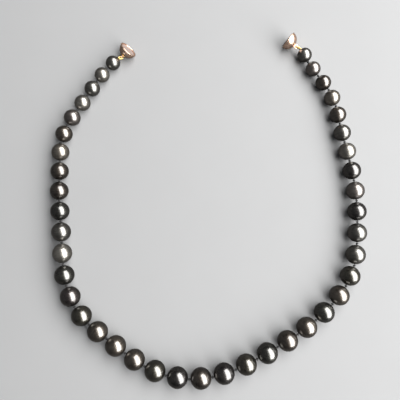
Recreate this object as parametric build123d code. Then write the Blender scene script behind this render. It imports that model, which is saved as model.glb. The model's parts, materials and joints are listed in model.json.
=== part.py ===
from build123d import *
import os
from math import acos, asin, atan2, cos, degrees, hypot, pi, radians, sin, sqrt

# A graduated strand of dark pearls, hand-knotted on silk, with a magnetic ball clasp.
# It lies open on a flat surface: +Z is up, +Y runs from the largest pearl towards the clasp,
# and the origin is the middle of the laid necklace, on the surface. Millimetres.

# Pearls, numbered from the left end of the strand to the right end
pearl_count = 41
middle_pearl = (pearl_count + 1) // 2
centre_pearl_diameter = 10.2
end_pearl_diameter = 7.9
graduation = 2.3  # 1 shrinks the pearls evenly towards the ends, more keeps the middle ones large

# Silk: one strand, taken double through the pearls, with a knot between each two
silk_diameter = 0.36
bore_clearance = 0.09  # between the doubled silk and the bore, on the radius
knot_diameter = 1.5
knot_clearance = 0.04  # between a knot and the rims of the bores it sits against
right_arm_slack = 0.12  # how far the right arm's pearls stand off the knots on each side of them
silk_swelling = 0.03  # how much the silk swells, on the radius, where its two strands part or turn

# Gimp: the fine coiled tube that guards the silk where it passes through the clasp's ring
gimp_clearance = 0.12  # between the silk and the gimp's inside, on the radius
gimp_wall = 0.1
gimp_lap = 0.07  # how far the gimp's ends reach back beside the swollen silk at the bore
gimp_pearl_clearance = 0.015  # between the gimp's ends and the end pearl
gimp_leg = 1.95  # length of the loop's two legs
gimp_leg_gap = 0.02  # between the two legs where they meet at the pearl

# Clasp: two half balls, each with a ring on its pole and a magnet in its face
ball_diameter = 10.0
rim_band = 0.6  # height of the band round the face
rim_step = 0.15  # how far the band stands out of the dome
rim_chamfer = 0.12
rim_width = 0.8
cup_wall = 0.7
ledge_width = 0.7
magnet_clearance = 0.1
magnet_thickness = 1.2  # of the sunk magnet; the other is thicker by what it stands out and sinks
magnet_chamfer = 0.15
magnet_rise = 0.4  # how far the right half's magnet stands out of its face
closing_gap = 0.05  # left between the two magnets when the rims meet
ring_wire = 0.7
ring_slack = 0.25  # between the gimp and the ring's hole, on the radius
link_clearance = 0.1  # between the ring's wire and the gimp's loop, on the radius
link_play = 0.05  # between the gimp and the ring where they hang on each other

# The way the strand lies, seen from above: from the left end pearl's outer bore to the right one's
strand_route = [
    (-46, 80), (-55, 69), (-65, 52), (-74, 35), (-74.5, 19), (-74, 2.5), (-71.5, -18),
    (-69, -39), (-65.5, -50), (-59.5, -59.5), (-46.5, -70), (-32.5, -80), (-16.5, -87.5),
    (0.5, -89), (12.5, -86.5), (34, -76.5), (53.5, -64.5), (70, -49.5), (76.5, -39.5),
    (81, -17), (81.5, 5.5), (78.5, 26), (75.5, 42), (72.5, 57), (62.5, 73.5), (57, 85.5),
]

# How each clasp half lies, in degrees: headings turn from +X towards +Y, rises from level
left_droop = 0.3  # how far the end pearl's bore dips towards the clasp
right_droop = 0.1
left_link_heading = 46
right_link_heading = 158
left_face_heading = 36
right_face_heading = 142
left_face_rise = 32
right_face_rise = 8

# Sizes that follow from those above
silk_radius = silk_diameter / 2
bore_radius = silk_diameter + bore_clearance
knot_radius = knot_diameter / 2
gimp_inner_radius = silk_radius + gimp_clearance
gimp_radius = gimp_inner_radius + gimp_wall
ring_wire_radius = ring_wire / 2
ring_radius = gimp_radius + ring_slack + ring_wire_radius
ring_offset = ring_radius - gimp_radius - ring_wire_radius - link_play
gimp_loop_radius = ring_wire_radius + link_clearance + gimp_radius
gimp_leg_spread = gimp_radius + gimp_leg_gap / 2
gimp_start = silk_radius + silk_diameter + silk_swelling - gimp_lap
ball_radius = ball_diameter / 2
dome_radius = ball_radius - rim_step
dome_inner_radius = dome_radius - cup_wall
pocket_radius = ball_radius - rim_width
pocket_depth = magnet_rise + closing_gap + magnet_thickness
ledge_radius = pocket_radius - ledge_width
magnet_radius = pocket_radius - magnet_clearance
face_reach = ring_offset + ring_radius + dome_radius


def pearl_diameter(number):
    away_from_centre = abs(2 * (number - 1) / (pearl_count - 1) - 1)
    return centre_pearl_diameter - (centre_pearl_diameter - end_pearl_diameter) * away_from_centre**graduation


def half_knot(number):
    # from a pearl's surface to the centre of the knot that sits on its bore's rim
    pearl_radius = pearl_diameter(number) / 2
    rim_depth = pearl_radius - sqrt(pearl_radius**2 - bore_radius**2)
    slack = right_arm_slack if number > middle_pearl else 0
    return sqrt((knot_radius + knot_clearance) ** 2 - bore_radius**2) - rim_depth + slack


def direction(heading, rise):
    level = cos(radians(rise))
    return Vector(level * cos(radians(heading)), level * sin(radians(heading)), sin(radians(rise)))


def rod(start, end, radius):
    length = (end - start).length
    return Plane(origin=start, z_dir=end - start).location * Cylinder(
        radius, length, align=(Align.CENTER, Align.CENTER, Align.MIN)
    )


def ball(centre, radius, along):
    # its poles lie on the line of the rod or bore that passes through it
    return Plane(origin=centre, z_dir=along).location * Sphere(radius)


# The strand is laid link by link: a link is a pearl with the half knot at each end of it
numbers = range(1, pearl_count + 1)
radii = [pearl_diameter(number) / 2 for number in numbers]
half_knots_before = [0] + [half_knot(number) for number in numbers[1:]]
half_knots_after = [half_knot(number) for number in numbers[:-1]] + [0]
links = [
    before + 2 * radius + after
    for before, radius, after in zip(half_knots_before, radii, half_knots_after)
]
strand_length = sum(links)


def lay_strand():
    route = Spline(*[Vector(x, y) for x, y in strand_route])
    stretch = strand_length / route.length
    heights = [max(before, after) for before, after in zip(radii, radii[1:])]
    heights[0] += left_droop
    heights[-1] += right_droop
    heights = [radii[0] - left_droop] + heights + [radii[-1] - right_droop]
    stations = []
    travelled = 0
    for height, link in zip(heights, links + [0]):
        on_route = route.position_at(travelled / strand_length * route.length, PositionMode.LENGTH)
        stations.append(on_route * stretch + Vector(0, 0, height))
        travelled += link
    knots = [stations[0]]
    for station, following, link in zip(stations, stations[1:], links):
        knots.append(knots[-1] + (following - station).normalized() * link)
    centres = []
    for start, end, before, radius in zip(knots, knots[1:], half_knots_before, radii):
        centres.append(start + (end - start).normalized() * (before + radius))
    return knots, centres


knots, pearl_centres = lay_strand()


def resting_height(rise):
    # of the face's centre, when a half ball lies on its dome or on its rim
    return max(dome_radius, ball_radius * cos(radians(rise)) + rim_band * sin(radians(rise)))


def leg_turn():
    # the angle, round the gimp's far end, at which a leg runs into it
    leg_line = hypot(gimp_leg, gimp_leg_spread)
    return atan2(gimp_leg_spread, -gimp_leg) - acos(gimp_loop_radius / leg_line)


def clear_of_pearl(from_pearl, link_axis, hinge_axis):
    # the start of a gimp whose legs' ends, discs of the gimp's radius, stand clear of the end pearl
    slant = leg_turn() - pi / 2
    clear_radius = from_pearl.length + gimp_pearl_clearance
    starts = []
    for side in (1, -1):
        leg = from_pearl + hinge_axis * side * gimp_leg_spread
        leg_axis = link_axis * cos(slant) + hinge_axis * side * sin(slant)
        beside = (leg - leg_axis * leg.dot(leg_axis)).length - gimp_radius
        starts.append((sqrt(clear_radius**2 - beside**2) - leg.dot(leg_axis)) * cos(slant))
    return max(starts)


class ClaspEnd:
    # one end of the strand: where the silk leaves the pearl, the link's hinge and the half ball's face
    def __init__(self, mouth, pearl_centre, link_heading, face_heading, face_rise):
        from_pearl = mouth - pearl_centre
        self.mouth = mouth
        self.mouth_ball_centre = mouth + from_pearl.normalized() * silk_radius
        self.face_axis = direction(face_heading, face_rise)
        hinge_height = resting_height(face_rise) - face_reach * sin(radians(face_rise))
        self.gimp_start = gimp_start
        for _ in range(2):  # the link's rise and the gimp's start each depend a little on the other
            gimp_reach = self.gimp_start + gimp_leg + gimp_loop_radius
            link_rise = degrees(asin((hinge_height - mouth.Z) / gimp_reach))
            self.link_axis = direction(link_heading, link_rise)
            self.hinge_axis = self.link_axis.cross(self.face_axis).normalized()
            self.gimp_start = max(gimp_start, clear_of_pearl(from_pearl, self.link_axis, self.hinge_axis))
        self.hinge = mouth + self.link_axis * (self.gimp_start + gimp_leg + gimp_loop_radius)
        self.face_centre = self.hinge + self.face_axis * face_reach
        self.gimp_plane = Plane(
            origin=mouth, x_dir=self.link_axis, z_dir=self.link_axis.cross(self.hinge_axis)
        )
        self.clasp_plane = Plane(origin=self.face_centre, x_dir=self.hinge_axis, z_dir=self.face_axis)


left_end = ClaspEnd(knots[0], pearl_centres[0], left_link_heading, left_face_heading, left_face_rise)
right_end = ClaspEnd(knots[-1], pearl_centres[-1], right_link_heading, right_face_heading, right_face_rise)


def make_pearl(number):
    radius = radii[number - 1]
    start = knots[number - 1]
    along = (knots[number] - start).normalized()
    centre = pearl_centres[number - 1]
    drill = rod(centre - along * 2 * radius, centre + along * 2 * radius, bore_radius)
    return ball(centre, radius, along) - drill


def gimp_path(start):
    # two legs and a round far end, in the loop's own plane, starting that far from the pearl's bore
    bend_centre = start + gimp_leg
    turn = leg_turn()
    touch = Vector(bend_centre + gimp_loop_radius * cos(turn), gimp_loop_radius * sin(turn))
    lower_touch = Vector(touch.X, -touch.Y)
    far_end = Vector(bend_centre + gimp_loop_radius, 0)
    leg_end = Vector(start, gimp_leg_spread)
    lower_leg_end = Vector(start, -gimp_leg_spread)
    return Wire(
        [
            Line(leg_end, touch).edge(),
            ThreePointArc(touch, far_end, lower_touch).edge(),
            Line(lower_touch, lower_leg_end).edge(),
        ]
    )


def tube_along(path, radius):
    profile = Plane(origin=path @ 0, z_dir=path % 0) * Circle(radius)
    return sweep(profile, path=path)


def make_gimp(end):
    path = gimp_path(end.gimp_start)
    return end.gimp_plane.location * (tube_along(path, gimp_radius) - tube_along(path, gimp_inner_radius))


def make_silk_loop(end):
    # the single silk strand from the bore's mouth through the gimp and back
    loop = end.gimp_plane.location * tube_along(gimp_path(end.gimp_start), silk_radius)
    pieces = [loop]
    for side in (1, -1):
        leg_end = end.mouth + end.link_axis * end.gimp_start + end.hinge_axis * side * gimp_leg_spread
        along = leg_end - end.mouth_ball_centre
        pieces.append(rod(end.mouth_ball_centre, leg_end, silk_radius))
        pieces.append(ball(leg_end, silk_radius + silk_swelling, along))
    pieces.append(ball(end.mouth_ball_centre, silk_diameter + silk_swelling, along))
    return pieces


def make_silk():
    ends = [left_end.mouth_ball_centre] + knots[1:-1] + [right_end.mouth_ball_centre]
    pieces = [rod(start, end, silk_diameter) for start, end in zip(ends, ends[1:])]
    pieces += [ball(knot, knot_radius, following - knot) for knot, following in zip(knots[1:-1], knots[2:])]
    pieces += make_silk_loop(left_end)
    pieces += make_silk_loop(right_end)
    return pieces[0].fuse(*pieces[1:])


def make_ring():
    return Pos(0, 0, -dome_radius - ring_radius) * Rot(0, 90, 0) * Torus(ring_radius, ring_wire_radius)


def make_cup():
    # a bowl turned about Z, face up at z = 0, with a ledge that the magnet sits on
    dome_edge = sqrt(dome_radius**2 - rim_band**2)
    bowl_edge = sqrt(dome_inner_radius**2 - ledge_radius**2)
    slant = sin(pi / 4)
    dome = ThreePointArc(
        (0, -dome_radius), (dome_radius * slant, -dome_radius * slant), (dome_edge, -rim_band)
    )
    bowl_middle = atan2(-dome_inner_radius, 0) / 2 + atan2(-bowl_edge, ledge_radius) / 2
    bowl = ThreePointArc(
        (ledge_radius, -bowl_edge),
        (dome_inner_radius * cos(bowl_middle), dome_inner_radius * sin(bowl_middle)),
        (0, -dome_inner_radius),
    )
    rim = Polyline(
        (dome_edge, -rim_band),
        (ball_radius, -rim_band),
        (ball_radius, -rim_chamfer),
        (ball_radius - rim_chamfer, 0),
        (pocket_radius + rim_chamfer, 0),
        (pocket_radius, -rim_chamfer),
        (pocket_radius, -pocket_depth),
        (ledge_radius, -pocket_depth),
        (ledge_radius, -bowl_edge),
    )
    axis_line = Line((0, -dome_inner_radius), (0, -dome_radius))
    outline = make_face(dome.edges() + rim.edges() + bowl.edges() + axis_line.edges())
    turned = revolve(Plane.XZ * outline, Axis.Z)
    return turned - make_ring()


def make_magnet(thickness):
    disc = Cylinder(magnet_radius, thickness, align=(Align.CENTER, Align.CENTER, Align.MIN))
    return Pos(0, 0, -pocket_depth) * chamfer(disc.edges().filter_by(GeomType.CIRCLE), magnet_chamfer)


parts = {f"pearl_{number:02d}": make_pearl(number) for number in range(1, pearl_count + 1)}
parts["silk_thread"] = make_silk()
for side, end, thickness in (
    ("left", left_end, magnet_thickness),
    ("right", right_end, pocket_depth + magnet_rise),
):
    parts[f"gimp_{side}"] = make_gimp(end)
    parts[f"clasp_cup_{side}"] = end.clasp_plane.location * make_cup()
    parts[f"clasp_ring_{side}"] = end.clasp_plane.location * make_ring()
    parts[f"clasp_magnet_{side}"] = end.clasp_plane.location * make_magnet(thickness)

# The middle of the laid necklace, on the surface, becomes the origin
box = Compound(list(parts.values())).bounding_box()
origin_shift = Vector(-box.center().X, -box.center().Y, -box.min.Z)

os.makedirs("parts", exist_ok=True)
for name, shape in parts.items():
    export_step(Pos(*origin_shift) * shape, f"parts/{name}.step")
laid = f"{box.size.X:.1f} by {box.size.Y:.1f} by {box.size.Z:.1f} mm"
print(f"strand {strand_length:.1f} mm, laid necklace {laid}")
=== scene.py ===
import json
from math import acos, asin, atan2, cos, hypot, pi, radians, sin, sqrt
from random import Random

import bpy
from mathutils import Matrix, Vector


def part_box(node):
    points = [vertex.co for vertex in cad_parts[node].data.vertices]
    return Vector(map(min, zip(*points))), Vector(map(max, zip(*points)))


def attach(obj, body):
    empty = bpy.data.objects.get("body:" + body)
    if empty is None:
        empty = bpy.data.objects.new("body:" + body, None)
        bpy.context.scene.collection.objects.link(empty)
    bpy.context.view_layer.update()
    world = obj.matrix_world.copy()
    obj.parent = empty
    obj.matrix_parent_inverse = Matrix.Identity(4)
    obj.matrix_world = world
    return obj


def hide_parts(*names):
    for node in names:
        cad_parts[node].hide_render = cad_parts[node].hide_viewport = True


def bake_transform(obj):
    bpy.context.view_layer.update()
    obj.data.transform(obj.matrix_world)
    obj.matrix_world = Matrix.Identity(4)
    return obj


# A knotted strand of dark pearls with a rose-gold magnetic ball clasp, lying open on a table.
# Sizes are in metres. Pearls are numbered from the left end of the strand to the right end.

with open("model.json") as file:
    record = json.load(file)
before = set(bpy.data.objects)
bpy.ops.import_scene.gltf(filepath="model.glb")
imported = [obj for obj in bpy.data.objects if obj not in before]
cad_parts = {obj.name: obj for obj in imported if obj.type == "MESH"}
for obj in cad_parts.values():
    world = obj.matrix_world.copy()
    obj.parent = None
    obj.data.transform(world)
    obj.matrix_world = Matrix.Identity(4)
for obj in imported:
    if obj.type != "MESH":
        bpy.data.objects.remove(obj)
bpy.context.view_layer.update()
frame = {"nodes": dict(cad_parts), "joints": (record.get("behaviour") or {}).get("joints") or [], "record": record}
mm = 0.001

joints = {joint["name"]: joint for joint in frame["joints"]}
mounts = {mount["name"]: mount for mount in frame["record"]["mounts"]}
pearlCount = sum(name.startswith("pearl_") for name in frame["nodes"])


class Socket:
    # one output of a node; maths on it adds the nodes for that maths
    def __init__(self, graph, socket):
        self.graph = graph
        self.socket = socket

    def maths(self, operation, *others):
        inputs = dict(enumerate((self, *others)))
        return self.graph.add("ShaderNodeMath", {"operation": operation}, inputs)

    def vectorMaths(self, operation, *others):
        inputs = dict(enumerate((self, *others)))
        return self.graph.add("ShaderNodeVectorMath", {"operation": operation}, inputs)

    def scaled(self, factor):
        # a vector made longer or shorter
        inputs = {0: self, "Scale": factor}
        return self.graph.add("ShaderNodeVectorMath", {"operation": "SCALE"}, inputs)

    def other(self, name):
        # another output of the same node
        return Socket(self.graph, pick(self.socket.node.outputs, name))

    def __add__(self, other):
        return self.maths("ADD", other)

    def __radd__(self, other):
        return self.maths("ADD", other)

    def __sub__(self, other):
        return self.maths("SUBTRACT", other)

    def __rsub__(self, other):
        return self.graph.add("ShaderNodeMath", {"operation": "SUBTRACT"}, {0: other, 1: self})

    def __mul__(self, other):
        return self.maths("MULTIPLY", other)

    def __rmul__(self, other):
        return self.maths("MULTIPLY", other)

    def __truediv__(self, other):
        return self.maths("DIVIDE", other)


def pick(sockets, name):
    # by place, or the first one of that name that the node's settings leave in use
    if isinstance(name, int):
        return sockets[name]
    return next(socket for socket in sockets if socket.name == name and socket.enabled)


class Graph:
    # a node tree, emptied; add makes a node with its settings first and then its sockets
    def __init__(self, tree):
        self.tree = tree
        tree.nodes.clear()

    def add(self, kind, settings=None, inputs=None, output=0):
        node = self.tree.nodes.new(kind)
        for name, value in (settings or {}).items():
            if name == "captures":
                for item in value:
                    node.capture_items.new("FLOAT", item)
            else:
                setattr(node, name, value)
        for name, value in (inputs or {}).items():
            socket = pick(node.inputs, name)
            if isinstance(value, Socket):
                self.tree.links.new(value.socket, socket)
            else:
                socket.default_value = value
        if not node.outputs:
            return None
        return Socket(self, pick(node.outputs, output))


def newMaterial(name):
    material = bpy.data.materials.new(name)
    material.use_nodes = True
    return material, Graph(material.node_tree)


def colour(value):
    return value if isinstance(value, Socket) else (*value, 1)


def blendColours(graph, factor, first, second):
    return graph.add(
        "ShaderNodeMix", {"data_type": "RGBA"},
        {"Factor": factor, "A": colour(first), "B": colour(second)}, "Result",
    )


def noise(graph, where, scale, detail=2, roughness=0.5):
    return graph.add(
        "ShaderNodeTexNoise", None,
        {"Vector": where, "Scale": scale, "Detail": detail, "Roughness": roughness}, "Fac",
    )


def remap(graph, value, low, high, newLow=0.0, newHigh=1.0):
    return graph.add(
        "ShaderNodeMapRange", {"interpolation_type": "SMOOTHSTEP"},
        {"Value": value, "From Min": low, "From Max": high, "To Min": newLow, "To Max": newHigh},
        "Result",
    )


def bump(graph, height, distance):
    return graph.add("ShaderNodeBump", None, {"Distance": distance, "Height": height}, "Normal")


def finishMaterial(graph, sockets):
    shader = graph.add("ShaderNodeBsdfPrincipled", None, sockets)
    graph.add("ShaderNodeOutputMaterial", None, {"Surface": shader})


# each finish: its body colour, the overtone that clouds it, and its roughness
nacre = {
    "silver": ((0.171, 0.162, 0.146), (0.274, 0.261, 0.234), 0.37),
    "beige": ((0.144, 0.128, 0.109), (0.232, 0.211, 0.179), 0.37),
    "mauve": ((0.106, 0.093, 0.088), (0.179, 0.161, 0.150), 0.37),
    "grey": ((0.070, 0.068, 0.062), (0.128, 0.124, 0.114), 0.37),
    "brown": ((0.058, 0.047, 0.038), (0.112, 0.097, 0.080), 0.37),
    "umber": ((0.035, 0.027, 0.022), (0.074, 0.062, 0.051), 0.38),
    "aubergine": ((0.036, 0.029, 0.028), (0.076, 0.064, 0.061), 0.38),
    "olive": ((0.036, 0.033, 0.025), (0.074, 0.069, 0.055), 0.38),
    "green": ((0.024, 0.024, 0.021), (0.056, 0.057, 0.049), 0.38),
    "graphite": ((0.019, 0.017, 0.017), (0.046, 0.043, 0.040), 0.38),
}

# the finish of each pearl, from the left end
pearlLooks = (
    "grey silver grey silver mauve brown beige umber umber green "
    "grey silver green aubergine olive brown brown brown olive graphite "
    "umber graphite olive green umber brown green brown olive grey "
    "grey graphite mauve graphite silver grey brown beige umber mauve grey"
).split()

nacreSkin = {
    "cloudScale": 190,
    "wispScale": 620,
    "pinholeScale": 420,
    "grainScale": 2600,
    "bandScale": 7,  # of the growth bands, per radius along the bore
    "bandBend": 1.5,  # how far the clouds bend the bands
    "overtoneEdge": (0.4, 0.62),  # the noise where the overtone begins and where it is full
    "pinholeEdge": (0.02, 0.13),  # from a pinhole's middle to its rim
    "smoother": 0.03,  # how far the roughness falls below the finish's own
    "rougher": 0.05,
    "grainRelief": 0.1,
    "pinholeRelief": 1.2,
    "bandRelief": 1.2,
    "reliefDepth": 0.0001 * mm,
    "metallic": 0.94,
    "ior": 1.53,
    "coatRoughness": 0.21,
    "coatIor": 1.9,
}


def makeNacre(name, body, overtone, roughness):
    skin = nacreSkin
    material, graph = newMaterial("nacre_" + name)
    where = graph.add("ShaderNodeTexCoord", None, None, "Object")
    rings = graph.add("ShaderNodeAttribute", {"attribute_name": "alongBore"}, None, "Fac")
    clouds = noise(graph, where, skin["cloudScale"], 3, 0.55)
    wisps = noise(graph, where, skin["wispScale"], 4, 0.6)
    bent = graph.add("ShaderNodeCombineXYZ", None, {"X": clouds * skin["bandBend"], "Z": rings})
    bands = noise(graph, bent, skin["bandScale"])
    cloudiness = clouds * 0.5 + bands * 0.35 + wisps * 0.15
    tint = blendColours(graph, remap(graph, cloudiness, *skin["overtoneEdge"]), body, overtone)
    cells = {"Vector": where, "Scale": skin["pinholeScale"]}
    pits = graph.add("ShaderNodeTexVoronoi", None, cells, "Distance")
    pinholes = remap(graph, pits, *skin["pinholeEdge"])
    grain = noise(graph, where, skin["grainScale"], 3, 0.6)
    relief = grain * skin["grainRelief"] + pinholes * skin["pinholeRelief"]
    relief = relief + bands * skin["bandRelief"]
    smoothest, roughest = roughness - skin["smoother"], roughness + skin["rougher"]
    finishMaterial(graph, {
        "Base Color": tint,
        "Metallic": skin["metallic"],
        "Roughness": remap(graph, wisps, 0.3, 0.7, smoothest, roughest),
        "IOR": skin["ior"],
        "Coat Weight": 1.0,
        "Coat Roughness": skin["coatRoughness"],
        "Coat IOR": skin["coatIor"],
        "Normal": bump(graph, relief, skin["reliefDepth"]),
    })
    return material


roseGoldLook = {
    "colour": (0.88, 0.63, 0.50),
    "worn": (0.74, 0.49, 0.37),
    "roughness": 0.22,
    "metallic": 0.93,
}
yellowGoldLook = {
    "colour": (1.0, 0.84, 0.40),
    "worn": (0.98, 0.74, 0.28),
    "roughness": 0.24,
    "metallic": 0.9,
}
goldSkin = {
    "smearScale": 480,
    "smearRoughness": 0.1,
    "hairlineScale": 1400,
    "hairlineStretch": (9, 1, 2),  # fine across, long along
    "hairlineRoughness": 0.08,
    "hairlineDepth": 0.004 * mm,
}


def makePolishedGold(name, look):
    material, graph = newMaterial(name)
    where = graph.add("ShaderNodeTexCoord", None, None, "Object")
    smears = noise(graph, where, goldSkin["smearScale"], 3)
    stretch = {"Vector": where, "Scale": goldSkin["hairlineStretch"]}
    drawn = graph.add("ShaderNodeMapping", None, stretch)
    hairlines = noise(graph, drawn, goldSkin["hairlineScale"])
    scratched = remap(graph, hairlines, 0.55, 0.75, 0, goldSkin["hairlineRoughness"])
    tint = blendColours(graph, remap(graph, smears, 0.35, 0.75), look["colour"], look["worn"])
    finishMaterial(graph, {
        "Base Color": tint,
        "Metallic": look["metallic"],
        "Roughness": look["roughness"] + smears * goldSkin["smearRoughness"] + scratched,
        "Normal": bump(graph, hairlines, goldSkin["hairlineDepth"]),
    })
    return material


satin = {
    "colour": (0.43, 0.345, 0.31),
    # the darker colour below is painted shade in the lathe's grooves
    "paintedGrooveShade": (0.31, 0.245, 0.235),
    "roughness": 0.42,
    "metallic": 0.6,
    "rings": 55,  # how close the lathe's marks are, per millimetre of radius
    "grooveDepth": 0.012 * mm,
    "smearScale": 520,
    "smearRoughness": 0.12,
}


def makeSatinFace():
    # a plated disc, faced on a lathe, so its marks run round its centre; its grooves are painted darker, as
    # painted shade
    material, graph = newMaterial("satinMagnet")
    where = graph.add("ShaderNodeTexCoord", None, None, "Object")
    radius = graph.add("ShaderNodeAttribute", {"attribute_name": "fromAxis"}, None, "Fac")
    ringed = graph.add("ShaderNodeCombineXYZ", None, {"X": radius * satin["rings"]})
    grooves = noise(graph, ringed, 1.0, 2, 0.7)
    smears = noise(graph, where, satin["smearScale"], 3)
    # how much painted shade each groove gets
    shade = remap(graph, grooves, 0.35, 0.7)
    finishMaterial(graph, {
        "Base Color": blendColours(graph, shade, satin["colour"], satin["paintedGrooveShade"]),
        "Metallic": satin["metallic"],
        "Roughness": satin["roughness"] + smears * satin["smearRoughness"],
        "Normal": bump(graph, grooves, satin["grooveDepth"]),
    })
    return material


silkLook = {
    "colour": (0.010, 0.010, 0.011),
    "lit": (0.032, 0.031, 0.032),
    "twists": 900.0,  # filaments passed in a metre along the strand
    "filaments": 3,  # side by side round the strand
    "filamentDepth": 0.03 * mm,
    "fuzzScale": 5200,
    "roughness": 0.55,
    "fuzzRoughness": 0.2,
    "sheen": 0.1,
    "sheenRoughness": 0.4,
}


def makeSilk():
    # fine filaments that run round the strand as it is twisted
    look = silkLook
    material, graph = newMaterial("twistedSilk")
    where = graph.add("ShaderNodeTexCoord", None, None, "Object")
    along = graph.add("ShaderNodeAttribute", {"attribute_name": "alongStrand"}, None, "Fac")
    around = graph.add("ShaderNodeAttribute", {"attribute_name": "aroundStrand"}, None, "Fac")
    turn = along * look["twists"] + around * look["filaments"]
    ply = (turn * (2 * pi)).maths("SINE") * 0.5 + 0.5
    fuzz = noise(graph, where, look["fuzzScale"], 3, 0.7)
    finishMaterial(graph, {
        "Base Color": blendColours(graph, ply * 0.7 + fuzz * 0.3, look["colour"], look["lit"]),
        "Roughness": look["roughness"] + fuzz * look["fuzzRoughness"],
        "Sheen Weight": look["sheen"],
        "Sheen Roughness": look["sheenRoughness"],
        "Normal": bump(graph, ply + fuzz * 0.5, look["filamentDepth"]),
    })
    return material


nacreMaterials = {name: makeNacre(name, *look) for name, look in nacre.items()}
roseGold = makePolishedGold("roseGold", roseGoldLook)
yellowGold = makePolishedGold("yellowGold", yellowGoldLook)
satinMagnet = makeSatinFace()
twistedSilk = makeSilk()
print("materials ready")


def newTree(name, sockets):
    # sockets are (name, kind) pairs; geometry comes first where the tree works on a path
    tree = bpy.data.node_groups.new(name, "GeometryNodeTree")
    graph = Graph(tree)
    tree.is_modifier = True
    for label, kind in sockets:
        tree.interface.new_socket(name=label, in_out="INPUT", socket_type="NodeSocket" + kind)
    tree.interface.new_socket(name="Geometry", in_out="OUTPUT", socket_type="NodeSocketGeometry")
    first = graph.add("NodeGroupInput")
    return tree, graph, {label: first.other(label) for label, kind in sockets}


def finishTree(graph, geometry, material):
    smoothing = {"Geometry": geometry, "Shade Smooth": True}
    smooth = graph.add("GeometryNodeSetShadeSmooth", None, smoothing)
    real = graph.add("GeometryNodeRealizeInstances", None, {"Geometry": smooth})
    painted = graph.add("GeometryNodeSetMaterial", None, {"Geometry": real, "Material": material})
    graph.add("NodeGroupOutput", None, {"Geometry": painted})


def circle(graph, sides, radius):
    inputs = {"Resolution": sides, "Radius": radius}
    return graph.add("GeometryNodeCurvePrimitiveCircle", None, inputs, "Curve")


def captured(graph, geometry, **values):
    # keeps values on the geometry as they are here; other(name) reads one further on
    inputs = {"Geometry": geometry, **values}
    return graph.add("GeometryNodeCaptureAttribute", {"captures": list(values)}, inputs, "Geometry")


def storeFloat(graph, geometry, name, value):
    return graph.add(
        "GeometryNodeStoreNamedAttribute", {"data_type": "FLOAT", "domain": "POINT"},
        {"Geometry": geometry, "Name": name, "Value": value},
    )


def grow(tree, source, values):
    # the plain mesh that a tree makes from a curve or mesh, with these values on its inputs
    maker = bpy.data.objects.new("maker", source)
    bpy.context.scene.collection.objects.link(maker)
    modifier = maker.modifiers.new("grow", "NODES")
    modifier.node_group = tree
    inputs = [item for item in tree.interface.items_tree if item.in_out == "INPUT"]
    identifiers = {item.name: item.identifier for item in inputs}
    for label, value in values.items():
        modifier[identifiers[label]] = value
    depsgraph = bpy.context.evaluated_depsgraph_get()
    mesh = bpy.data.meshes.new_from_object(maker.evaluated_get(depsgraph), depsgraph=depsgraph)
    maker.modifiers.remove(modifier)
    bpy.data.objects.remove(maker)
    return mesh


def joined(name, meshes):
    # one object of several meshes, keeping their materials and attributes
    objects = []
    for mesh in meshes:
        piece = bpy.data.objects.new(name, mesh)
        bpy.context.scene.collection.objects.link(piece)
        objects.append(piece)
    if len(objects) > 1:
        with bpy.context.temp_override(
            active_object=objects[0], selected_editable_objects=objects, selected_objects=objects
        ):
            bpy.ops.object.join()
    objects[0].data.name = name
    return objects[0]


def unit(vector):
    return Vector(vector).normalized()


def placing(origin, zAxis, xHint=(0, 0, 1)):
    # the matrix that takes +Z to zAxis and the plane of +X to that of xHint
    z = unit(zAxis)
    y = z.cross(Vector(xHint)).normalized()
    x = y.cross(z)
    return Matrix.Translation(origin) @ Matrix((x, y, z)).transposed().to_4x4()


def polyLine(name, points, cyclic=False):
    curve = bpy.data.curves.new(name, "CURVE")
    curve.dimensions = "3D"
    spline = curve.splines.new("POLY")
    spline.points.add(len(points) - 1)
    for point, place in zip(spline.points, points):
        point.co = (*place, 1)
    spline.use_cyclic_u = cyclic
    return curve


def middleAndRadius(node):
    low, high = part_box(node)
    return (low + high) / 2, (high - low).z / 2


pearls = [middleAndRadius(f"pearl_{number:02d}") for number in range(1, pearlCount + 1)]
knots = [Vector(joints[f"knot_{number:02d}_bend"]["pos_m"]) for number in range(1, pearlCount)]


class ClaspEnd:
    # one end of the strand: the bore's mouth, the link's hinge and the half ball's face
    def __init__(self, side, pearl, knot, faceFromMount):
        centre, radius = pearl
        mount = mounts[f"clasp_face_{side}"]
        joint = joints[f"clasp_{side}_swing"]
        self.pearlCentre = centre
        self.outward = unit(centre - knot)
        self.mouth = centre + self.outward * radius
        self.faceAxis = unit(mount["axis"])
        self.face = Vector(mount["pos_m"]) + self.faceAxis * faceFromMount  # the rim's plane
        self.hingeAxis = unit(joint["axis"])
        self.linkAxis = unit(Vector(joint["pos_m"]) - self.mouth)
        self.claspPlace = placing(self.face, self.faceAxis, self.hingeAxis)


clasp = {
    "ballRadius": 5.0 * mm,
    "domeRadius": 4.85 * mm,
    "domeSteps": 40,
    "rimBand": 0.6 * mm,
    "pocketRadius": 4.2 * mm,
    "pocketDepth": 1.65 * mm,
    "ledgeRadius": 3.5 * mm,
    "bowlRadius": 4.15 * mm,
    "bowlSteps": 16,
    "edgeSoftening": 0.3 * mm,
    "cornerSteps": 4,
    "cornerAngle": 0.35,  # radians; a corner that turns by less stays as it is
    "cornerReach": 0.45,  # of a side's length, the most that a rounding takes
    "steps": 128,  # round each turned piece
}
magnet = {
    "recess": 0.45 * mm,  # the left half's magnet is sunk
    "rise": 0.4 * mm,  # the right half's stands out
    "radius": 4.1 * mm,
    "bevel": 0.15 * mm,
    "softening": 0.8,  # of the bevel
    "faceRings": (0.8, 0.6, 0.4, 0.2, 0),  # of the radius
}
leftEnd = ClaspEnd("left", pearls[0], knots[0], magnet["recess"])
rightEnd = ClaspEnd("right", pearls[-1], knots[-1], -magnet["rise"])

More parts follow.
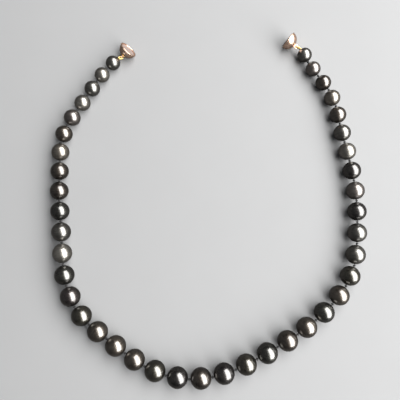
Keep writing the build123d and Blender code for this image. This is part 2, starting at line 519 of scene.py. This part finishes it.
pearlSizes = {
    "boreRadius": 0.45 * mm,
    "around": 100,  # faces round the bore
    "outside": 58,  # steps from one rim of the bore to the other, over the skin
    "inside": 6,  # steps back through the bore
    "unevenness": 0.006,  # as a share of the radius
    "lumpScale": 1.1,
    "lumpDetail": 1.5,
    "outOfRound": 0.008,  # how much longer or shorter than round, either way
    "dice": 7,
    "seeds": 50,  # the range of the noise's seeds
}


def pearlTree():
    # a closed ring of skin and bore wall, turned about the bore
    tree, graph, given = newTree("pearl", [
        ("Radius", "Float"), ("Bore radius", "Float"), ("Unevenness", "Float"),
        ("Stretch", "Float"), ("Seed", "Float"), ("Material", "Material"),
    ])
    outside, inside = pearlSizes["outside"], pearlSizes["inside"]
    steps = outside + inside
    factor = graph.add("GeometryNodeSplineParameter", None, None, "Factor")
    ring = captured(graph, circle(graph, pearlSizes["around"], 2.0), around=factor)
    section = captured(graph, circle(graph, steps, 1.0), along=factor)
    sweep = {"Curve": ring, "Profile Curve": section}
    skin = graph.add("GeometryNodeCurveToMesh", None, sweep, "Mesh")
    around = ring.other("around") * (2 * pi)
    along = section.other("along") * (steps / outside)
    rimAngle = (given["Bore radius"] / given["Radius"]).maths("ARCSINE")
    fromAxis = rimAngle + (pi - rimAngle * 2) * along.maths("MINIMUM", 1.0)
    inBore = along.maths("GREATER_THAN", 1.0001)  # past the last step of the skin
    boreShare = (along - 1.0) * (outside / inside)
    direction = graph.add("ShaderNodeCombineXYZ", None, {
        "X": fromAxis.maths("SINE") * around.maths("COSINE"),
        "Y": fromAxis.maths("SINE") * around.maths("SINE"),
        "Z": fromAxis.maths("COSINE"),
    })
    lumps = {"Scale": pearlSizes["lumpScale"], "Detail": pearlSizes["lumpDetail"]}
    wobble = graph.add(
        "ShaderNodeTexNoise", {"noise_dimensions": "4D"},
        {"Vector": direction, "W": given["Seed"], **lumps}, "Fac",
    )
    swell = 1.0 + (wobble - 0.5) * 2.0 * given["Unevenness"]
    size = given["Radius"] * swell
    rimHeight = given["Radius"] * rimAngle.maths("COSINE")
    outer = size * fromAxis.maths("SINE") * (1.0 - inBore)
    radial = outer + given["Bore radius"] * inBore
    outerHeight = size * fromAxis.maths("COSINE") * (1.0 - inBore)
    height = outerHeight + rimHeight * (boreShare * 2.0 - 1.0) * inBore
    place = graph.add("ShaderNodeCombineXYZ", None, {
        "X": radial * around.maths("COSINE"),
        "Y": radial * around.maths("SINE"),
        "Z": height * given["Stretch"],
    })
    turned = graph.add("GeometryNodeSetPosition", None, {"Geometry": skin, "Position": place})
    marked = storeFloat(graph, turned, "alongBore", fromAxis.maths("COSINE") + given["Seed"])
    finishTree(graph, marked, given["Material"])
    return tree


def makePearls():
    tree = pearlTree()
    dice = Random(pearlSizes["dice"])
    empty = bpy.data.meshes.new("empty")
    between = [unit(after - before) for before, after in zip(knots, knots[1:])]
    ways = [leftEnd.outward * -1, *between, rightEnd.outward]
    for number, ((centre, radius), way) in enumerate(zip(pearls, ways), 1):
        mesh = grow(tree, empty, {
            "Radius": radius,
            "Bore radius": pearlSizes["boreRadius"],
            "Unevenness": pearlSizes["unevenness"],
            "Stretch": 1 + dice.uniform(-1, 1) * pearlSizes["outOfRound"],
            "Seed": dice.uniform(0, pearlSizes["seeds"]),
            "Material": nacreMaterials[pearlLooks[number - 1]],
        })
        mesh.transform(placing(centre, way))
        pearl = joined(f"nacre_pearl_{number:02d}", [mesh])
        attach(pearl, f"link_{number:02d}")
        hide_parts(f"pearl_{number:02d}")


makePearls()
print(f"{pearlCount} pearls turned")


def windingTree():
    # a wire of round section that winds round a path
    tree, graph, given = newTree("winding", [
        ("Path", "Geometry"), ("Upright", "Vector"), ("Winding radius", "Float"),
        ("Wire radius", "Float"), ("Turns", "Float"), ("Start turn", "Float"),
        ("Points", "Int"), ("Sides", "Int"), ("Material", "Material"),
    ])
    counted = {"Curve": given["Path"], "Count": given["Points"]}
    path = graph.add("GeometryNodeResampleCurve", {"mode": "COUNT"}, counted)
    parameter = graph.add("GeometryNodeSplineParameter", None, None, "Factor")
    marked = captured(graph, path, along=parameter, length=parameter.other("Length"))
    tangent = graph.add("GeometryNodeInputTangent")
    side = tangent.vectorMaths("CROSS_PRODUCT", given["Upright"]).vectorMaths("NORMALIZE")
    up = side.vectorMaths("CROSS_PRODUCT", tangent)
    turn = (marked.other("along") * given["Turns"] + given["Start turn"]) * (2 * pi)
    sideways = side.scaled(turn.maths("COSINE"))
    upwards = up.scaled(turn.maths("SINE"))
    offset = sideways.vectorMaths("ADD", upwards).scaled(given["Winding radius"])
    wound = graph.add("GeometryNodeSetPosition", None, {"Geometry": marked, "Offset": offset})
    section = captured(graph, circle(graph, given["Sides"], given["Wire radius"]), around=parameter)
    sweep = {"Curve": wound, "Profile Curve": section, "Fill Caps": True}
    wire = graph.add("GeometryNodeCurveToMesh", None, sweep, "Mesh")
    wire = storeFloat(graph, wire, "alongStrand", marked.other("length"))
    wire = storeFloat(graph, wire, "aroundStrand", section.other("around"))
    finishTree(graph, wire, given["Material"])
    return tree


winding = windingTree()


def wind(path, upright, windingRadius, wireRadius, turns, points, sides, material, startTurn=0.0):
    return grow(winding, path, {
        "Upright": upright, "Winding radius": windingRadius, "Wire radius": wireRadius,
        "Turns": turns, "Start turn": startTurn, "Points": points, "Sides": sides,
        "Material": material,
    })


def twoStrands(path, upright, windingRadius, wireRadius, turns, points, sides):
    # silk, half a turn apart round the same path
    return [
        wind(path, upright, windingRadius, wireRadius, turns, points, sides, twistedSilk, start)
        for start in (0.0, 0.5)
    ]


silk = {
    "strandRadius": 0.18 * mm,
    "strandFullness": 0.98,  # the strand's own radius, as a share of how far it winds
    "strandSides": 10,
    "turnsBetweenPearls": 7.0,
    "points": 64,
    "knotRadius": 0.75 * mm,
    "knotTurn": 2.4,  # radians from each knot to the next, so that they differ
    "knotLean": 0.3,
    "loopSwing": 0.36 * mm,  # the knot's strand swings this far from its middle
    "loopThickness": 0.185 * mm,
    "loopPoints": 72,
    "knotPly": 0.105 * mm,
    "plyFullness": 1.15,
    "plyTurns": 9,
    "plySides": 8,
    "knotPoints": 132,
    "endWinding": 0.45,  # at the ends, as shares of the strand's radius
    "endWire": 0.5,
    "endTurns": 26,
    "endPoints": 520,
}


def knotLoop(place):
    # an overhand knot drawn tight: its strand goes twice round and three times through
    points = []
    for step in range(silk["loopPoints"]):
        turn = 2 * pi * step / silk["loopPoints"]
        out = silk["loopSwing"] + silk["loopThickness"] * cos(3 * turn)
        height = silk["loopThickness"] * sin(3 * turn)
        points.append(place @ Vector((out * cos(2 * turn), out * sin(2 * turn), height)))
    return polyLine("knot loop", points, cyclic=True)


def makeKnots():
    strand, ply = silk["strandRadius"], silk["knotPly"]
    for number, knot in enumerate(knots, 1):
        (before, _), (after, _) = pearls[number - 1], pearls[number]
        thread = polyLine("thread", [before, knot, after])
        turn = number * silk["knotTurn"]
        hint = (sin(turn), silk["knotLean"], cos(turn))
        loop = knotLoop(placing(knot, after - before, hint))
        axis = (after - before).normalized()
        strands = twoStrands(
            thread, (0, 0, 1), strand, strand * silk["strandFullness"],
            silk["turnsBetweenPearls"], silk["points"], silk["strandSides"],
        ) + twoStrands(
            loop, axis, ply, ply * silk["plyFullness"],
            silk["plyTurns"], silk["knotPoints"], silk["plySides"],
        )
        piece = joined(f"silk_knot_{number:02d}", strands)
        knot - axis * silk["knotRadius"]
        knot + axis * silk["knotRadius"]
        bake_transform(piece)
        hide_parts("silk_thread")


makeKnots()
print(f"{pearlCount - 1} knots tied")

gimp = {
    "start": 0.5 * mm,  # from the pearl to the gimp's ends
    "leg": 1.95 * mm,
    "legSpread": 0.41 * mm,
    "loopRadius": 0.85 * mm,
    "loopSteps": 40,
    "middleRadius": 0.35 * mm,  # of the wound wire, from the path
    "wireRadius": 0.058 * mm,
    "wireSides": 7,
    "turns": 66,
    "pointsPerTurn": 14,
}


def gimpPath(end):
    # two legs and a round far end, which the legs meet without a corner
    leg, spread = gimp["leg"], gimp["legSpread"]
    radius, steps = gimp["loopRadius"], gimp["loopSteps"]
    bend = gimp["start"] + leg
    turn = atan2(spread, -leg) - acos(radius / hypot(leg, spread))
    flat = [(gimp["start"], spread)]
    for step in range(steps + 1):
        angle = turn * (1 - 2 * step / steps)
        flat.append((bend + radius * cos(angle), radius * sin(angle)))
    flat.append((gimp["start"], -spread))
    return [end.mouth + end.linkAxis * along + end.hingeAxis * across for along, across in flat]


def makeGimp(side, end, body):
    route = gimpPath(end)
    upright = end.linkAxis.cross(end.hingeAxis)
    points = gimp["turns"] * gimp["pointsPerTurn"]
    coil = wind(polyLine("gimp", route), upright, gimp["middleRadius"], gimp["wireRadius"],
                gimp["turns"], points, gimp["wireSides"], yellowGold)
    piece = joined(f"wound_gimp_{side}", [coil])
    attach(piece, body)
    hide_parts(f"gimp_{side}")
    # the silk leaves the bore, runs through the gimp and comes back
    strand = silk["strandRadius"]
    inner = end.pearlCentre
    centred = end.mouth + end.outward * strand
    single = polyLine("end loop", [inner, centred, *route, centred, inner])
    strands = twoStrands(
        single, upright, strand * silk["endWinding"], strand * silk["endWire"],
        silk["endTurns"], silk["endPoints"], silk["plySides"],
    )
    loop = joined(f"silk_end_{side}", strands)
    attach(loop, body)
    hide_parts("silk_thread")


makeGimp("left", leftEnd, "link_01")
makeGimp("right", rightEnd, f"link_{pearlCount:02d}")
print("gimps wound")


def arcPoints(radius, start, end, steps):
    angles = [start + (end - start) * step / steps for step in range(steps + 1)]
    return [(radius * cos(angle), radius * sin(angle)) for angle in angles]


def softened(outline, radius):
    # rounds each sharp corner of an outline
    result = [outline[0]]
    for before, corner, after in zip(outline, outline[1:], outline[2:]):
        into = Vector(corner) - Vector(before)
        out = Vector(after) - Vector(corner)
        if into.angle(out) < clasp["cornerAngle"]:
            result.append(corner)
            continue
        back = min(radius, into.length * clasp["cornerReach"])
        ahead = min(radius, out.length * clasp["cornerReach"])
        first = Vector(corner) - into.normalized() * back
        last = Vector(corner) + out.normalized() * ahead
        for step in range(clasp["cornerSteps"] + 1):
            share = step / clasp["cornerSteps"]
            middle = Vector(corner) * 2 * share * (1 - share)
            result.append(tuple(first * (1 - share) ** 2 + middle + last * share**2))
    return result + [outline[-1]]


def turnedMesh(name, outline, material, place, closed=False, steps=clasp["steps"]):
    # a lathe: (radius, height) points about +Z; an open outline starts and ends on the axis
    vertices, faces, rows = [], [], []
    turns = [2 * pi * i / steps for i in range(steps)]
    for radius, height in outline:
        if radius < 1e-9:
            rows.append([len(vertices)] * steps)
            vertices.append((0, 0, height))
            continue
        rows.append(list(range(len(vertices), len(vertices) + steps)))
        vertices += [(radius * cos(turn), radius * sin(turn), height) for turn in turns]
    pairs = list(zip(rows, rows[1:])) + ([(rows[-1], rows[0])] if closed else [])
    for lower, upper in pairs:
        for i in range(steps):
            j = (i + 1) % steps
            corners = (lower[i], lower[j], upper[j], upper[i])
            faces.append(list(dict.fromkeys(corners)))  # three at the axis, where two are one
    mesh = bpy.data.meshes.new(name)
    mesh.from_pydata(vertices, [], faces)
    spread = mesh.attributes.new("fromAxis", "FLOAT", "POINT")
    spread.data.foreach_set("value", [hypot(x, y) / mm for x, y, _ in vertices])
    mesh.shade_smooth()
    mesh.materials.append(material)
    mesh.transform(place)
    return mesh


def makeCup(side, end):
    bowl, dome, ball = clasp["bowlRadius"], clasp["domeRadius"], clasp["ballRadius"]
    pocket, floor, band = clasp["pocketRadius"], -clasp["pocketDepth"], clasp["rimBand"]
    bowlEdge = -asin(sqrt(1 - (clasp["ledgeRadius"] / bowl) ** 2))
    domeEdge = -asin(band / dome)
    outline = [(0, -bowl)]
    outline += arcPoints(bowl, -pi / 2, bowlEdge, clasp["bowlSteps"])[1:]
    outline += [(clasp["ledgeRadius"], floor), (pocket, floor), (pocket, 0)]
    outline += [(ball, 0), (ball, -band)]
    outline += arcPoints(dome, domeEdge, -pi / 2, clasp["domeSteps"])[:-1]
    outline += [(0, -dome)]
    outline = softened(outline, clasp["edgeSoftening"])
    mesh = turnedMesh(f"cup_{side}", outline[::-1], roseGold, end.claspPlace)
    piece = joined(f"turned_cup_{side}", [mesh])
    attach(piece, f"clasp_{side}")
    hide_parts(f"clasp_cup_{side}")


ring = {
    "radius": 1.0 * mm,
    "wire": 0.35 * mm,
    "steps": 72,
    "wireSteps": 28,
    "solderRadius": 0.95 * mm,
    "solderHeight": 0.24 * mm,
    "solderFlare": 2.2,  # more makes a flatter foot and a steeper middle
    "solderLip": 0.05 * mm,  # how far the solder's edge is sunk in the dome
    "solderDepth": 0.3 * mm,
    "solderSteps": 48,
    "solderRows": 12,
}


def makeRing(side, end):
    pole = clasp["domeRadius"]
    centre = end.face - end.faceAxis * (pole + ring["radius"])
    wire = arcPoints(ring["wire"], 0, 2 * pi, ring["wireSteps"])[:-1]
    section = [(ring["radius"] + r, z) for r, z in wire]
    ringPlace = placing(centre, end.hingeAxis, end.faceAxis)
    hoop = turnedMesh("ring", section, roseGold, ringPlace, closed=True, steps=ring["steps"])
    outline = [(0, -pole + ring["solderDepth"])]
    for step in range(ring["solderRows"] + 1):
        share = step / ring["solderRows"]
        radius = ring["solderRadius"] * (1 - share)
        foot = sqrt(pole**2 - radius**2)
        outline.append((radius, -foot - ring["solderHeight"] * share ** ring["solderFlare"]))
    outline[1] = (ring["solderRadius"], outline[1][1] + ring["solderLip"])
    solder = turnedMesh("solder", outline[::-1], roseGold, end.claspPlace, steps=ring["solderSteps"])
    piece = joined(f"soldered_ring_{side}", [hoop, solder])
    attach(piece, f"clasp_{side}")
    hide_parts(f"clasp_ring_{side}")


def makeMagnet(side, end, top):
    reach, bevel, foot = magnet["radius"], magnet["bevel"], -clasp["pocketDepth"]
    outline = [(0, foot), (reach - bevel, foot), (reach, foot + bevel)]
    outline += [(reach, top - bevel), (reach - bevel, top)]
    outline += [(reach * share, top) for share in magnet["faceRings"]]
    outline = softened(outline, bevel * magnet["softening"])
    mesh = turnedMesh(f"magnet_{side}", outline, satinMagnet, end.claspPlace)
    piece = joined(f"satin_magnet_{side}", [mesh])
    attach(piece, f"clasp_{side}")
    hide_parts(f"clasp_magnet_{side}")


halves = (("left", leftEnd, -magnet["recess"]), ("right", rightEnd, magnet["rise"]))
for side, end, top in halves:
    makeCup(side, end)
    makeRing(side, end)
    makeMagnet(side, end, top)
print("clasp halves turned")

studio = {
    "floorSize": 1.3,
    "floorColour": (0.225, 0.229, 0.235),
    # painted shade: the floor is darker only where gold and pearls reflect it
    "paintedReflectionShade": (0.038, 0.0367, 0.0355),  # of the floor, in gold and pearls
    "mottleScale": 40,
    "mottleShade": 0.96,
    "floorRoughness": 0.9,
    "floorSpecular": 0.15,
    "lampColour": (1.0, 0.985, 0.96),
    "windowPlace": (0.46, 0.0, 0.55),
    "windowSize": (0.68, 1.9),  # high, long
    "windowLean": 20,  # degrees, its far end higher than its near end
    "windowPower": 40.0,
    "fillPlace": (-0.62, 0.12, 0.42),
    "fillSize": (0.9, 1.5),
    "fillPower": 0.3,
    "roomColour": (0.90, 0.94, 1.0),
    "roomStrength": 0.03,
    "ambientStrength": 0.07,
    "wallStrength": 0.62,
}
view = {
    "from": (-3.65 * mm, -39.48 * mm, 218.5 * mm),
    "towards": (-3.65 * mm, -0.18 * mm, 0.0),
    "lens": 37.35,
    "sensor": 36.0,
}


def makeStage():
    half = studio["floorSize"] / 2
    corners = [(-half, -half, 0), (half, -half, 0), (half, half, 0), (-half, half, 0)]
    mesh = bpy.data.meshes.new("table")
    mesh.from_pydata(corners, [], [(0, 1, 2, 3)])
    material, graph = newMaterial("paleTable")
    where = graph.add("ShaderNodeTexCoord", None, None, "Object")
    mottle = noise(graph, where, studio["mottleScale"], 3)
    shaded = [channel * studio["mottleShade"] for channel in studio["floorColour"]]
    pale = blendColours(graph, mottle, studio["floorColour"], shaded)
    # glossy rays see the floor painted darker than the camera sees it: painted shade in what pearls and gold
    # reflect
    reflected = graph.add("ShaderNodeLightPath", None, None, "Is Glossy Ray")
    finishMaterial(graph, {
        "Base Color": blendColours(graph, reflected, pale, studio["paintedReflectionShade"]),
        "Roughness": studio["floorRoughness"],
        "Specular IOR Level": studio["floorSpecular"],
    })
    mesh.materials.append(material)
    table = bpy.data.objects.new("table", mesh)
    bpy.context.scene.collection.objects.link(table)


def makePanel(name, place, size, power, lean=0):
    # a soft rectangular light above one side of the table, turned to face its middle
    lamp = bpy.data.lights.new(name, "AREA")
    lamp.shape = "RECTANGLE"
    lamp.size, lamp.size_y = size
    lamp.energy = power
    lamp.color = studio["lampColour"]
    panel = bpy.data.objects.new(name, lamp)
    panel.location = place
    facing = Matrix.Rotation(atan2(place[0], place[2]), 3, "Y")
    panel.rotation_euler = (facing @ Matrix.Rotation(radians(lean), 3, "Z")).to_euler()
    panel.visible_camera = False
    bpy.context.scene.collection.objects.link(panel)


def makeLight():
    makePanel("window", studio["windowPlace"], studio["windowSize"], studio["windowPower"],
              studio["windowLean"])
    makePanel("fill", studio["fillPlace"], studio["fillSize"], studio["fillPower"])
    world = bpy.data.worlds.new("room")
    world.use_nodes = True
    graph = Graph(world.node_tree)
    # the wall behind the table is pale, and the room's own light is soft
    seen = graph.add("ShaderNodeLightPath", None, None, "Is Camera Ray")
    scattered = graph.add("ShaderNodeLightPath", None, None, "Is Diffuse Ray")
    wall = seen * studio["wallStrength"]
    ambient = scattered * studio["ambientStrength"]
    strength = wall + ambient + studio["roomStrength"]
    room = {"Color": colour(studio["roomColour"]), "Strength": strength}
    glow = graph.add("ShaderNodeBackground", None, room)
    graph.add("ShaderNodeOutputWorld", None, {"Surface": glow})
    bpy.context.scene.world = world


def makeCamera():
    lens = bpy.data.cameras.new("camera")
    lens.lens = view["lens"]
    lens.sensor_width = view["sensor"]
    lens.clip_start = 1 * mm
    camera = bpy.data.objects.new("camera", lens)
    camera.location = view["from"]
    sight = Vector(view["towards"]) - Vector(view["from"])
    camera.rotation_euler = sight.to_track_quat("-Z", "Y").to_euler()
    bpy.context.scene.collection.objects.link(camera)
    bpy.context.scene.camera = camera


makeStage()
makeLight()
makeCamera()
bpy.context.scene.view_settings.view_transform = "Standard"
print("stage, light and camera set")
